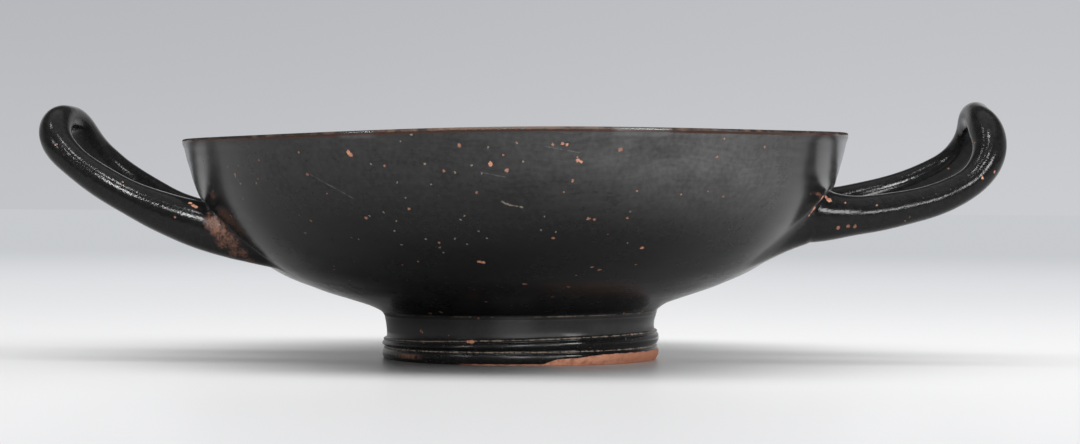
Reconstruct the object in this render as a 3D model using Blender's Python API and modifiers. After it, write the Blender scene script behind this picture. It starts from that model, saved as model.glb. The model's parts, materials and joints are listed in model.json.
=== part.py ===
"""A stemless black-glazed kylix: a shallow bowl on a moulded ring foot, with two upturned loop handles.

The cup is modelled at its real size in metres, +Z up.  The origin is on the table under the centre of the
foot, and +X points out through one handle.  The bowl and foot are thrown on the wheel, the handles are
pulled rolls of clay pressed on to the wall, and all of it is joined with slip and fired as one body, so
it is one closed object here.  Dimensions below are in millimetres and degrees.
"""

import math
from collections import namedtuple

import bmesh
import bpy
import numpy as np
from mathutils import Matrix, Vector

OBJECT_NAME = "kylix_cup"
MM = 0.001

# Bowl
RIM_RADIUS = 90.0
RIM_HEIGHT = 60.0
LIP_THICKNESS = 3.3
WALL_THICKNESS = 4.2
FLOOR_HEIGHT = 15.6
FLOOR_RADIUS = 30.0

# Foot: a ring with two rounded mouldings under a short neck
FOOT_RADIUS = 37.5
NECK_RADIUS = 36.3
NECK_HEIGHT = 12.0
LOWER_BAND_HEIGHT = 3.5
UPPER_BAND_HEIGHT = 7.1
REST_INNER_RADIUS = 28.0
RECESS_RADIUS = 26.5
RECESS_CEILING = 8.4

# How the pot settled in making and firing
LEAN = 0.71
BOWL_SHIFT = -1.0
SHIFT_FROM, SHIFT_TO = 11.5, 16.5
RIM_SAG = 0.25
RIM_TILT = 0.2
TRIM_BELOW = 1.0

# The solid that trims the handles' inner ends, and the block that rubs the foot flat
CORE_FLOOR = 17.0
CORE_ABOVE_RIM = 12.0
TABLE_BLOCK_SIZE = (200.0, 200.0, 20.0)

# How finely round shapes are faceted
TURNING_STEPS = 64
CURVE_STEPS = 2
HANDLE_POINTS = 34
HANDLE_SECTION_RESOLUTION = 4
WELD_DISTANCE = 0.01
SHARP_ANGLE = 35.0

# Each handle is one roll of clay bent into a loop.  Seen from the side it climbs at an angle that changes
# from root to crown: climbs and thicknesses are read at these shares of the way out along one strand.
CLIMB_AT = (0.0, 0.25, 0.5, 0.7, 0.85, 1.0)
THICKNESS_AT = (0.0, 0.2, 0.45, 0.75, 1.0)

# Seen from above the loop is half a superellipse: its strands start ROOT_SPREAD either side of the middle,
# draw in towards spread and meet at the crown, with squareness as the exponent.  tilt raises the far strand
# above the near one, crown_tilt does so more towards the crown, and stretch makes it reach further out.
Handle = namedtuple("Handle", "name side root_reach root_height length climbs thicknesses spread squareness"
                              " tilt crown_tilt stretch tail_slope tail_flare")
LEFT_HANDLE = Handle(
    name="left_handle", side=-1, root_reach=74.0, root_height=33.1, length=60.6,
    climbs=(17, 20, 29.5, 36, 46, 85), thicknesses=(12.2, 12.4, 9.2, 8.0, 9.2),
    spread=16.4, squareness=3.1, tilt=-0.021, crown_tilt=-0.025, stretch=-0.087,
    tail_slope=12.0, tail_flare=0.0)
RIGHT_HANDLE = Handle(
    name="right_handle", side=1, root_reach=76.0, root_height=38.9, length=61.0,
    climbs=(-2, 9.5, 16.5, 29, 58.5, 106.5), thicknesses=(15.2, 10.5, 9.1, 7.8, 9.5),
    spread=16.3, squareness=3.2, tilt=0.023, crown_tilt=0.193, stretch=-0.012,
    tail_slope=8.0, tail_flare=0.14)
ROOT_SPREAD = 22.0
STRAND_STEPS = 240
EASING_STEPS = 25
TAIL_LENGTH = 14.0

CLAY_COLOUR = (0.018, 0.018, 0.020, 1.0)
CLAY_ROUGHNESS = 0.32


def clear_scene():
    """Remove every object, so that the script always starts from nothing."""
    for old in list(bpy.data.objects):
        bpy.data.objects.remove(old, do_unlink=True)


def new_collection(name):
    """A collection linked to the scene."""
    collection = bpy.data.collections.new(name)
    bpy.context.scene.collection.children.link(collection)
    return collection


def glazed_clay():
    """The black gloss that covers the whole cup."""
    material = bpy.data.materials.new("black_gloss_clay")
    material.use_nodes = True
    shader = material.node_tree.nodes["Principled BSDF"]
    shader.inputs["Base Color"].default_value = CLAY_COLOUR
    shader.inputs["Roughness"].default_value = CLAY_ROUGHNESS
    shader.inputs["Metallic"].default_value = 0.0
    return material


def smooth_through(points, steps):
    """A Catmull-Rom curve through (radius, height) points, with this many steps between neighbours."""
    known = np.array(points, float)
    before = 2 * known[0] - known[1]
    after = 2 * known[-1] - known[-2]
    padded = np.vstack([before, known, after])
    curve = []
    for index in range(1, len(padded) - 2):
        a, b, c, d = padded[index - 1:index + 3]
        for t in np.linspace(0, 1, steps, endpoint=False):
            curve.append(0.5 * (2 * b + (c - a) * t + (2 * a - 5 * b + 4 * c - d) * t ** 2
                                + (3 * b - a - 3 * c + d) * t ** 3))
    curve.append(known[-1])
    return [tuple(point) for point in curve]


def bowl_outside():
    """The wall from just under the lip down to the top of the neck."""
    stations = [(RIM_RADIUS, RIM_HEIGHT - 0.35), (89.3, 57.6), (88.3, 53.4), (85.1, 44.0), (77.6, 34.0),
                (66.2, 25.0), (54.4, 19.5), (44.4, 16.2), (40.2, 14.7), (37.6, 13.1),
                (NECK_RADIUS + 0.6, NECK_HEIGHT)]
    return smooth_through(stations, CURVE_STEPS)


def bowl_inside():
    """The inner wall from the middle of the floor up to just under the lip."""
    stations = [(FLOOR_RADIUS, FLOOR_HEIGHT + 0.5), (48.5, FLOOR_HEIGHT + 5.6), (63.8, 29.0),
                (73.9, 37.0), (81.1, 46.5), (85.0, 55.0), (RIM_RADIUS - LIP_THICKNESS, RIM_HEIGHT - 1.7)]
    floor = [(0.0, FLOOR_HEIGHT), (FLOOR_RADIUS / 2, FLOOR_HEIGHT + 0.1)]
    return floor + smooth_through(stations, CURVE_STEPS)


def lip():
    """The top of the wall, from inside to outside: rolled over within, and crisp at the outer edge."""
    inner = RIM_RADIUS - LIP_THICKNESS
    return [(inner + 0.3, RIM_HEIGHT - 0.7), (inner + 1.1, RIM_HEIGHT - 0.15), (inner + 2.1, RIM_HEIGHT),
            (RIM_RADIUS - 0.35, RIM_HEIGHT)]


def foot_outside():
    """The neck and the two bands of the foot, from the top down to below the table."""
    groove = LOWER_BAND_HEIGHT
    belly = (LOWER_BAND_HEIGHT + UPPER_BAND_HEIGHT) / 2 + 0.3
    neck = [(NECK_RADIUS + 0.1, 10.2), (NECK_RADIUS - 0.05, 8.4),
            (NECK_RADIUS + 0.1, UPPER_BAND_HEIGHT + 0.5)]
    upper_band = [(FOOT_RADIUS - 0.5, UPPER_BAND_HEIGHT), (FOOT_RADIUS + 0.05, belly + 0.8),
                  (FOOT_RADIUS + 0.05, belly - 0.5), (FOOT_RADIUS - 0.3, groove + 0.6)]
    lower_band = [(FOOT_RADIUS - 0.65, groove), (FOOT_RADIUS - 0.25, groove - 0.7), (FOOT_RADIUS, 1.8),
                  (FOOT_RADIUS - 0.15, 0.9), (FOOT_RADIUS - 0.9, -TRIM_BELOW)]
    return neck + upper_band + lower_band


def foot_underside():
    """The resting ring, the turned recess inside it and its ceiling, in to the axis."""
    return [(REST_INNER_RADIUS, -TRIM_BELOW), (REST_INNER_RADIUS - 0.6, 1.2),
            (RECESS_RADIUS, RECESS_CEILING - 2.2), (RECESS_RADIUS - 1.8, RECESS_CEILING - 0.5),
            (RECESS_RADIUS - 6.0, RECESS_CEILING), (0.0, RECESS_CEILING)]


def turned(name, profile, collection):
    """Spin a (radius, height) profile about Z and return the result as a plain mesh object."""
    mesh = bpy.data.meshes.new(name + "_profile")
    mesh.from_pydata([(r * MM, 0.0, z * MM) for r, z in profile],
                     [(i, i + 1) for i in range(len(profile) - 1)], [])
    guide = bpy.data.objects.new(name + "_profile", mesh)
    collection.objects.link(guide)
    screw = guide.modifiers.new("Turn", "SCREW")
    screw.axis = "Z"
    screw.angle = math.tau
    screw.steps = TURNING_STEPS
    screw.render_steps = TURNING_STEPS
    screw.use_merge_vertices = True
    screw.merge_threshold = WELD_DISTANCE * MM
    return as_mesh_object(guide, name, collection)


def as_mesh_object(source, name, collection):
    """Replace an object by a mesh object of the same evaluated shape, with its loose ends welded."""
    bpy.context.view_layer.update()
    evaluated = source.evaluated_get(bpy.context.evaluated_depsgraph_get())
    mesh = bpy.data.meshes.new_from_object(evaluated)
    work = bmesh.new()
    work.from_mesh(mesh)
    bmesh.ops.remove_doubles(work, verts=work.verts, dist=WELD_DISTANCE * MM)
    work.to_mesh(mesh)
    work.free()
    solid = bpy.data.objects.new(name, mesh)
    solid.matrix_world = source.matrix_world.copy()
    collection.objects.link(solid)
    bpy.data.objects.remove(source, do_unlink=True)
    return solid


def settle(mesh):
    """Ease the bowl to one side of the foot's axis and let the rim dip a little towards the handles."""
    for vertex in mesh.vertices:
        x, y, z = vertex.co / MM
        across = min(max((z - SHIFT_FROM) / (SHIFT_TO - SHIFT_FROM), 0.0), 1.0)
        ease = across * across * (3 - 2 * across)
        direction = math.atan2(y, x)
        high = max(z, 0.0) / RIM_HEIGHT
        wave = RIM_SAG * (math.cos(4 * direction) - math.cos(2 * direction))
        lift = high ** 2 * (x * math.tan(math.radians(RIM_TILT)) + wave)
        vertex.co = Vector((x + BOWL_SHIFT * ease, y, z + lift)) * MM


def eased(shares, values):
    """Values read between stations along a strand, with the change at each station softened."""
    read = np.interp(np.linspace(0.0, 1.0, STRAND_STEPS + 1), shares, values)
    padded = np.pad(read, EASING_STEPS // 2, mode="edge")
    return np.convolve(padded, np.ones(EASING_STEPS) / EASING_STEPS, mode="valid")


def running_total(rate):
    """How far something has come at each step along a strand, from its rate."""
    return np.concatenate([[0.0], np.cumsum((rate[1:] + rate[:-1]) / 2)]) / STRAND_STEPS


def handle_line(handle):
    """Centres and radii along a handle, from the near root round the crown to the far root."""
    climb = np.radians(eased(CLIMB_AT, handle.climbs))
    along = np.linspace(0.0, 1.0, STRAND_STEPS + 1)
    turn = np.linspace(-math.pi / 2, math.pi / 2, 4 * STRAND_STEPS + 1)
    out = np.abs(np.cos(turn)) ** (2 / handle.squareness)
    apart = np.sign(turn) * np.abs(np.sin(turn)) ** (2 / handle.squareness)
    across = handle.spread * apart + (ROOT_SPREAD - handle.spread) * np.sign(turn) * (1 - out)
    reach = handle.length * np.interp(out, along, running_total(np.cos(climb)))
    rise = handle.length * np.interp(out, along, running_total(np.sin(climb)))
    lift = (handle.tilt + handle.crown_tilt * out) * across
    centres = np.column_stack([handle.side * (handle.root_reach + reach * (1 + handle.stretch * apart)),
                               across, handle.root_height + rise + lift])
    radius = np.interp(out, along, eased(THICKNESS_AT, handle.thicknesses)) / 2
    return evenly_spaced(centres, radius, HANDLE_POINTS)


def evenly_spaced(centres, radius, count):
    """The same line with this many points at even distances along it."""
    gaps = np.linalg.norm(np.diff(centres, axis=0), axis=1)
    travelled = np.concatenate([[0.0], np.cumsum(gaps)])
    wanted = np.linspace(0.0, travelled[-1], count)
    placed = np.column_stack([np.interp(wanted, travelled, centres[:, axis]) for axis in range(3)])
    return placed, np.interp(wanted, travelled, radius)


def with_tails(handle, centres, radius):
    """Carry both ends on into the wall, flaring as the clay was smeared on to it."""
    slope = math.radians(handle.tail_slope)
    inward = np.array([-handle.side * math.cos(slope), 0.0, -math.sin(slope)])
    steps = np.array([[TAIL_LENGTH], [TAIL_LENGTH / 2]])
    near_tail = centres[0] + steps * inward
    far_tail = (centres[-1] + steps * inward)[::-1]
    flare = steps[:, 0] * handle.tail_flare
    path = np.vstack([near_tail, centres, far_tail])
    thick = np.concatenate([radius[0] + flare, radius, radius[-1] + flare[::-1]])
    return path, thick


def handle_roll(handle, collection):
    """One handle as a round roll of clay with closed ends."""
    path, thick = with_tails(handle, *handle_line(handle))
    curve = bpy.data.curves.new(handle.name, "CURVE")
    curve.dimensions = "3D"
    curve.bevel_depth = MM
    curve.bevel_resolution = HANDLE_SECTION_RESOLUTION
    curve.use_fill_caps = True
    spline = curve.splines.new("POLY")
    spline.points.add(len(path) - 1)
    for point, centre, radius in zip(spline.points, path, thick):
        point.co = (*(centre * MM), 1.0)
        point.radius = radius
    guide = bpy.data.objects.new(handle.name + "_line", curve)
    collection.objects.link(guide)
    return as_mesh_object(guide, handle.name, collection)


def wall_core(collection):
    """A solid that fills the bowl out to the middle of its wall, which trims the handles' inner ends."""
    outside = bowl_outside()
    profile = [(0.0, RIM_HEIGHT + CORE_ABOVE_RIM), (RIM_RADIUS, RIM_HEIGHT + CORE_ABOVE_RIM)]
    profile += [(r - WALL_THICKNESS / 2, z + 0.6) for r, z in outside[::CURVE_STEPS] if z > CORE_FLOOR]
    profile += [(0.0, CORE_FLOOR)]
    return turned("wall_core", profile, collection)


def table_block(collection):
    """Everything below the table, which the resting ring is rubbed flat against."""
    bpy.ops.mesh.primitive_cube_add(size=1.0)
    block = bpy.context.active_object
    block.name = "table_block"
    block.scale = Vector(TABLE_BLOCK_SIZE) * MM
    block.location = (0.0, 0.0, -TABLE_BLOCK_SIZE[2] * MM / 2)
    for owner in list(block.users_collection):
        owner.objects.unlink(block)
    collection.objects.link(block)
    return block


def hide_guide(guide):
    """Mark an object as a cutter or guide."""
    guide.hide_render = True
    guide.display_type = "WIRE"


def boolean(target, operation, other):
    """Add an exact Boolean modifier."""
    modifier = target.modifiers.new(operation.title() + " " + other.name, "BOOLEAN")
    modifier.operation = operation
    modifier.solver = "EXACT"
    modifier.object = other


def build_cup():
    """Turn the body, roll the handles, join them and rub the foot flat."""
    clear_scene()
    parts = new_collection(OBJECT_NAME)
    cutters = new_collection("cutters")
    profile = bowl_inside() + lip() + bowl_outside() + foot_outside() + foot_underside()
    cup = turned(OBJECT_NAME, profile, parts)
    core = wall_core(cutters)
    rolls = [handle_roll(handle, cutters) for handle in (LEFT_HANDLE, RIGHT_HANDLE)]
    settle(cup.data)
    settle(core.data)

    lean = Matrix.Rotation(-math.radians(LEAN), 4, "Y")
    for piece in [cup, core] + rolls:
        piece.data.transform(lean)
    for roll in rolls:
        boolean(roll, "DIFFERENCE", core)
        boolean(cup, "UNION", roll)
        hide_guide(roll)
    hide_guide(core)
    block = table_block(cutters)
    boolean(cup, "DIFFERENCE", block)
    hide_guide(block)

    cup.data.shade_smooth()
    cup.data.set_sharp_from_angle(angle=math.radians(SHARP_ANGLE))
    cup.data.materials.append(glazed_clay())


build_cup()
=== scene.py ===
# %% [markdown]
# # A black-gloss stemless kylix
#
# A kylix is the Greek drinking cup: a shallow bowl on a foot, with two loop handles. This one has no stem.
# The bowl and its ring foot are thrown on the wheel, the handles are rolls of clay bent by hand, and the
# whole cup is dipped in a fine slip that fires to a black gloss. Where the gloss has worn or chipped off,
# the orange clay shows.
#
# The solids that carry the cup come first. Everything made here is set in the same metres as they are.

# %% Load the frame
import json
import math
from functools import reduce
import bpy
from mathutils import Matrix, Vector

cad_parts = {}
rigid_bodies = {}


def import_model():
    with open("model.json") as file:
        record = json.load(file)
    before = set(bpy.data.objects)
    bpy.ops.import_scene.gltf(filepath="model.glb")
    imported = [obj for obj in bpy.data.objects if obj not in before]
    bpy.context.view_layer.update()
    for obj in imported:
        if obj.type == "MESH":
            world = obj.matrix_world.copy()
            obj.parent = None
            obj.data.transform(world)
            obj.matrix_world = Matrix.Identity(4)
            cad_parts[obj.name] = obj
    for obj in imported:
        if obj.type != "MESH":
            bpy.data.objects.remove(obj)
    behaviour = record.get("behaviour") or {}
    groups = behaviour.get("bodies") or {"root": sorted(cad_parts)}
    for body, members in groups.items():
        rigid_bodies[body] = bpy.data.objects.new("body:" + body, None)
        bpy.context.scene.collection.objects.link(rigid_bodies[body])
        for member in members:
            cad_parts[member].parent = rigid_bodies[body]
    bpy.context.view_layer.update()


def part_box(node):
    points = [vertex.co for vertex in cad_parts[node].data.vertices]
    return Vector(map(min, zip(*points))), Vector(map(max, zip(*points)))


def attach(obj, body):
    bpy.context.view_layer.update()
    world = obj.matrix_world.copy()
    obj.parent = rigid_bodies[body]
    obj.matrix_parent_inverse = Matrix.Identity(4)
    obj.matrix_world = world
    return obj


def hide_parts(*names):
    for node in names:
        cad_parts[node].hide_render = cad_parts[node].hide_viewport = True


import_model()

from types import SimpleNamespace

import bpy
import numpy as np
from mathutils import Matrix, Vector

CUP_NODE = "kylix_cup"
MM = 0.001
cup_low, cup_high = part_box(CUP_NODE)
print("solid:", [round(side / MM, 1) for side in cup_high - cup_low], "mm")

# %% [markdown]
# ## Driving sizes
#
# Sizes are in millimetres and angles in degrees. The rim's radius is half of the solid's depth, because
# only the bowl reaches that far to the front and the back. The pot isn't perfect: it leans a little, the
# bowl sits a millimetre off the foot's axis, and the rim dips towards the handles, as a pot does when damp
# handles pull on it. The upper ridge of the foot runs down to the left, between the two heights where it
# fades in and out.

# %% Driving sizes
RIM_RADIUS = (cup_high.y - cup_low.y) / 2 / MM
RIM_HEIGHT = 60.0
LIP_THICKNESS = 3.3
WALL_THICKNESS = 4.2
FLOOR_HEIGHT = 15.6
FOOT_RADIUS = 37.5
NECK_RADIUS = 36.3
RECESS_RADIUS = 26.5
RECESS_CEILING = 8.4
LEAN = 0.71
BOWL_SHIFT = -1.0
SHIFT_FROM, SHIFT_TO = 11.5, 16.5
RIM_SAG = 0.25
RIM_TILT = 0.2
RIDGE_SLOPE, RIDGE_DROP = 0.022, 0.5
RIDGE_FADE_IN, RIDGE_FADE_OUT = (3.8, 6.2), (11.5, 8.0)
print("rim radius", round(RIM_RADIUS, 2), "height", RIM_HEIGHT)

# %% [markdown]
# ## The turned profile
#
# A potter holds a template against the turning clay. The profile here is that template: radius against
# height, from the middle of the floor over the lip, down the wall and round the foot to the middle of the
# underside. Each stretch is a Catmull-Rom curve through a few stations, and the corners between stretches
# stay crisp. A curve is then walked in even steps, short where the form is small, such as the lip and the
# mouldings.

# %% Curves through stations
def curve_through(stations, steps=24):
    """A Catmull-Rom curve.  Between stations b and c, with a before and d after, at share t:
    point = (2b + (c - a)t + (2a - 5b + 4c - d)t^2 + (3b - a - 3c + d)t^3) / 2."""
    known = np.array(stations, float)
    padded = np.vstack([2 * known[0] - known[1], known, 2 * known[-1] - known[-2]])
    a, b, c, d = (padded[i:len(padded) - 3 + i, None, :] for i in range(4))
    t = (np.arange(steps) / steps)[None, :, None]
    spans = (2 * b + (c - a) * t + (2 * a - 5 * b + 4 * c - d) * t ** 2
             + (3 * b - a - 3 * c + d) * t ** 3) / 2
    return np.vstack([spans.reshape(-1, known.shape[1]), known[-1:]])


def travelled(points):
    """The distance along a line of points: the running total of the gaps between neighbours."""
    return np.concatenate([[0.0], np.cumsum(np.linalg.norm(np.diff(points, axis=0), axis=1))])


def walk(points, pace):
    """The same line with points at even distances of about one pace."""
    along = travelled(points)
    wanted = np.linspace(0, along[-1], max(int(round(along[-1] / pace)), 1) + 1)
    return np.column_stack([np.interp(wanted, along, column) for column in points.T])


print("a curve through 3 stations has", len(curve_through([(0, 0), (1, 1), (2, 0)])), "points")


# %% The profile, stretch by stretch
def stations_from(radius, height, steps):
    """Stations given by how far out and how far up each is from one radius and height."""
    return [(radius + out, height + up) for out, up in steps]


def bowl_inside():
    """From the middle of the floor up to the lip."""
    flat = stations_from(0, FLOOR_HEIGHT, [(0, 0), (15, 0.1), (30, 0.5), (48.5, 5.6)])
    wall = [(63.8, 29), (73.9, 37), (81.1, 46.5), (85, 55)]
    return flat + wall + [(RIM_RADIUS - LIP_THICKNESS, RIM_HEIGHT - 1.7)]


def lip():
    """Rolled over inside, nearly flat on top, with an upright edge outside and a scored line under it."""
    inner = RIM_RADIUS - LIP_THICKNESS
    top = stations_from(inner, RIM_HEIGHT, [(0, -1.7), (0.3, -0.7), (1.1, -0.15), (2.1, 0)])
    edge = stations_from(RIM_RADIUS, RIM_HEIGHT, [(-0.6, 0), (-0.34, -0.08), (-0.2, -0.3), (-0.14, -0.6)])
    score = stations_from(RIM_RADIUS, RIM_HEIGHT, [(-0.12, -0.8), (-0.22, -0.95), (-0.12, -1.15)])
    return top + edge + score


def bowl_outside():
    """From just under the lip down to the crease over the neck."""
    return [(RIM_RADIUS - 0.12, RIM_HEIGHT - 1.15), (89.4, 57.6), (88.3, 53.4), (85.1, 44.0), (77.6, 34.0),
            (66.2, 25.0), (54.4, 19.5), (44.4, 16.2), (40.2, 14.7), (37.7, 13.3)]


def neck():
    """A narrow fillet, a fine scored line and the hollow of the neck."""
    fillet = [(37.7, 13.3), (37.2, 12.7), (NECK_RADIUS + 0.65, 12.1)]
    score = stations_from(NECK_RADIUS, 0, [(0.65, 12.1), (0.42, 11.9), (0.48, 11.7)])
    hollow = stations_from(NECK_RADIUS, 0, [(0.48, 11.7), (0.1, 10.2), (-0.05, 8.6), (0.12, 7.45)])
    return [fillet, score, hollow]


def upper_band():
    """A thin raised edge, and under it a round moulding."""
    edge = stations_from(FOOT_RADIUS, 0, [(-0.55, 7.3), (-0.32, 7.1), (-0.38, 6.85), (-0.5, 6.65)])
    round_stations = [(-0.5, 6.65), (-0.12, 6.2), (0.08, 5.4), (-0.05, 4.6), (-0.45, 4.0)]
    return [[(NECK_RADIUS + 0.12, 7.45)] + edge, stations_from(FOOT_RADIUS, 0, round_stations)]


def lower_band():
    """A ragged edge over a groove, and the round moulding that stands on the table."""
    groove = [(-0.45, 4.0), (-0.62, 3.75), (-0.3, 3.45), (-0.5, 3.2)]
    round_stations = [(-0.5, 3.2), (-0.15, 2.7), (0, 1.9), (-0.12, 1.0), (-0.6, 0.0), (-1.1, -1.0)]
    return [stations_from(FOOT_RADIUS, 0, stations) for stations in (groove, round_stations)]


def underside():
    """The resting ring, the turned recess inside it and its ceiling."""
    corner = stations_from(RECESS_RADIUS, RECESS_CEILING, [(0, -2.2), (-1.8, -0.5), (-6, 0)])
    return [[(FOOT_RADIUS - 1.1, -1.0), (28.0, -1.0)],
            [(28.0, -1.0), (27.4, 1.2)] + corner + [(10, RECESS_CEILING), (0, RECESS_CEILING)]]


FINE, COARSE = 0.3, 1.6
STRETCHES = ([(bowl_inside(), COARSE), (lip(), FINE), (bowl_outside(), COARSE)]
             + [(stretch, FINE) for stretch in neck() + upper_band() + lower_band()]
             + [(stretch, COARSE) for stretch in underside()])
walked = [walk(curve_through(stations), pace) for stations, pace in STRETCHES]
profile = np.vstack([walked[0]] + [part[1:] for part in walked[1:]])
print("profile:", len(profile), "points,", round(travelled(profile)[-1]), "mm long")

# %% [markdown]
# ## Turning the profile
#
# Turning is a function of two parameters, the place along the profile and the bearing round the axis. Both
# ends of the profile lie on the axis, so each becomes one point with a fan of triangles round it, and the
# surface is closed. Every solid below is such a grid, so one function makes the faces of all of them.

# %% Turn a profile into a closed grid
def closed_grid_faces(rings, columns):
    """Faces of a grid of rings that starts and ends in a single point: ring i, column j is vertex
    1 + i * columns + j, vertex 0 is the first point and the last vertex closes the far end."""
    here = np.arange(columns)
    after = np.roll(here, -1)
    last = 1 + rings * columns
    start = 1 + np.arange(rings - 1)[:, None] * columns
    quads = np.stack([start + here, start + columns + here, start + columns + after, start + after], axis=-1)
    first_fan = np.stack([np.zeros(columns, int), 1 + here, 1 + after], axis=-1)
    last_fan = np.stack([np.full(columns, last), last - columns + after, last - columns + here], axis=-1)
    return first_fan.tolist() + quads.reshape(-1, 4).tolist() + last_fan.tolist()


def turned(outline, columns):
    """Spin an outline: x = radius * sin(bearing), y = -radius * cos(bearing), z = height.  The first and
    last points of the outline lie on the axis."""
    bearing = np.arange(columns) * math.tau / columns
    radius, height = outline[1:-1, 0, None], outline[1:-1, 1, None]
    rings = np.stack([radius * np.sin(bearing), -radius * np.cos(bearing), height + 0 * bearing], axis=-1)
    points = np.vstack([(0, 0, outline[0, 1]), rings.reshape(-1, 3), (0, 0, outline[-1, 1])])
    return points, closed_grid_faces(len(outline) - 2, columns)


def smoothstep(value, start, end):
    """0 at start, 1 at end, and 3t^2 - 2t^3 of the share t between them; start may be the larger."""
    share = np.clip((value - start) / (end - start), 0, 1)
    return share * share * (3 - 2 * share)


def settle(points):
    """Move the bowl off the foot's axis and let the rim sag: x grows by BOWL_SHIFT above the neck, and z
    by (z / RIM_HEIGHT)^2 * (x * tan(RIM_TILT) + RIM_SAG * (cos 4b - cos 2b)), where b is the direction.
    Round the upper ridge of the foot, z also grows by RIDGE_SLOPE * x - RIDGE_DROP."""
    x, y, z = points.T
    direction = np.arctan2(y, x)
    wave = RIM_SAG * (np.cos(4 * direction) - np.cos(2 * direction))
    lift = (np.maximum(z, 0) / RIM_HEIGHT) ** 2 * (x * math.tan(math.radians(RIM_TILT)) + wave)
    near_ridge = smoothstep(z, *RIDGE_FADE_IN) * smoothstep(z, *RIDGE_FADE_OUT)
    lift += near_ridge * (RIDGE_SLOPE * x - RIDGE_DROP)
    return np.column_stack([x + BOWL_SHIFT * smoothstep(z, SHIFT_FROM, SHIFT_TO), y, z + lift])


def leaned(points, angle=LEAN):
    """Turn points about Y so that +X rises: x' = x cos a - z sin a, z' = x sin a + z cos a."""
    sine, cosine = math.sin(math.radians(angle)), math.cos(math.radians(angle))
    x, y, z = points.T
    return np.column_stack([x * cosine - z * sine, y, x * sine + z * cosine])


def mesh_object(name, points, faces):
    """A mesh object at the origin, from points in millimetres."""
    mesh = bpy.data.meshes.new(name)
    mesh.from_pydata((points * MM).tolist(), [], faces)
    mesh.update()
    made = bpy.data.objects.new(name, mesh)
    bpy.context.scene.collection.objects.link(made)
    return made


# %% The body: bowl and foot in one
COLUMNS = 360
body_points, body_faces = turned(profile, COLUMNS)
body_points = leaned(settle(body_points))
body_points[:, 2] = np.maximum(body_points[:, 2], 0)
body = mesh_object("body", body_points, body_faces)
print("body:", len(body_faces), "faces")

# %% [markdown]
# ## The handles
#
# Each handle is a roll of clay pressed on to the wall at both ends and bent up at the tip. Seen from the
# side a strand climbs at an angle that grows from root to crown. Seen from above the loop is half a
# superellipse, so the strands run nearly parallel and turn quickly at the crown. No two hand-bent handles
# match, so each has its own numbers: the climb in degrees and the thickness in millimetres at shares of the
# way out, how far the strands spread, how square the loop is, and how it tilts, tapers and flares into the
# wall.

# %% Handle sizes
CLIMB_AT = (0.0, 0.25, 0.5, 0.7, 0.85, 1.0)
THICKNESS_AT = (0.0, 0.2, 0.45, 0.75, 1.0)
ROOT_SPREAD = 22.0
TAIL_LENGTH, TAIL_STEPS = 14.0, 14
PINCH_INWARD, PINCH_UPWARD = 0.5, 0.85
LEFT = dict(name="left", side=-1, root_reach=74.0, root_height=33.1, length=60.6,
            climbs=(17, 20, 29.5, 36, 46, 85), thicknesses=(12.2, 12.4, 9.2, 8.0, 9.2),
            spread=16.4, squareness=3.1, tilt=-0.021, crown_tilt=-0.025, stretch=-0.087,
            tail_slope=12.0, tail_flare=0.0, pinch=0.25)
RIGHT = dict(name="right", side=1, root_reach=76.0, root_height=38.9, length=61.6,
             climbs=(-2, 9.5, 16.5, 29, 58.5, 106.5), thicknesses=(15.2, 10.5, 9.1, 7.8, 10.1),
             spread=16.3, squareness=3.2, tilt=0.023, crown_tilt=0.193, stretch=-0.012,
             tail_slope=8.0, tail_flare=0.14, pinch=0.25)
print("lengths from root to crown:", LEFT["length"], "and", RIGHT["length"], "mm")


# %% The line of a handle
STRAND_STEPS = 240
EASING_STEPS = 25


def eased(shares, values):
    """Values read between stations along a strand, then averaged over EASING_STEPS to soften each change."""
    read = np.interp(np.linspace(0, 1, STRAND_STEPS + 1), shares, values)
    padded = np.pad(read, EASING_STEPS // 2, mode="edge")
    return np.convolve(padded, np.ones(EASING_STEPS) / EASING_STEPS, mode="valid")


def running_total(rate):
    """The integral of a rate along a strand, by the trapezium rule."""
    return np.concatenate([[0.0], np.cumsum((rate[1:] + rate[:-1]) / 2)]) / STRAND_STEPS


def handle_line(handle):
    """Centres, radii and climb angles along a handle.  turn goes from -90 at the near root to 90 at the far
    one; out = |cos turn|^(2/squareness) is the share of the way out, and apart = |sin turn|^(2/squareness),
    with its sign, spreads the strands.  Reach and rise are the integrals of the cosine and sine of the climb.
    The middle of the crown is pinched thinner from below, by the share pinch * (1 - apart^2)^6."""
    climb = np.radians(eased(CLIMB_AT, handle["climbs"]))
    along = np.linspace(0, 1, STRAND_STEPS + 1)
    turn = np.linspace(-math.pi / 2, math.pi / 2, 4 * STRAND_STEPS + 1)
    out = np.abs(np.cos(turn)) ** (2 / handle["squareness"])
    apart = np.sign(turn) * np.abs(np.sin(turn)) ** (2 / handle["squareness"])
    across = handle["spread"] * apart + (ROOT_SPREAD - handle["spread"]) * np.sign(turn) * (1 - out)
    reach = handle["length"] * np.interp(out, along, running_total(np.cos(climb)))
    rise = handle["length"] * np.interp(out, along, running_total(np.sin(climb)))
    lift = (handle["tilt"] + handle["crown_tilt"] * out) * across
    x = handle["side"] * (handle["root_reach"] + reach * (1 + handle["stretch"] * apart))
    radius = np.interp(out, along, eased(THICKNESS_AT, handle["thicknesses"])) / 2
    height = handle["root_height"] + rise + lift
    pinched = radius * handle["pinch"] * (1 - apart ** 2) ** 6
    x -= PINCH_INWARD * handle["side"] * pinched
    height += PINCH_UPWARD * pinched
    return np.column_stack([x, across, height, radius - pinched, np.interp(out, along, climb)])


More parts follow.
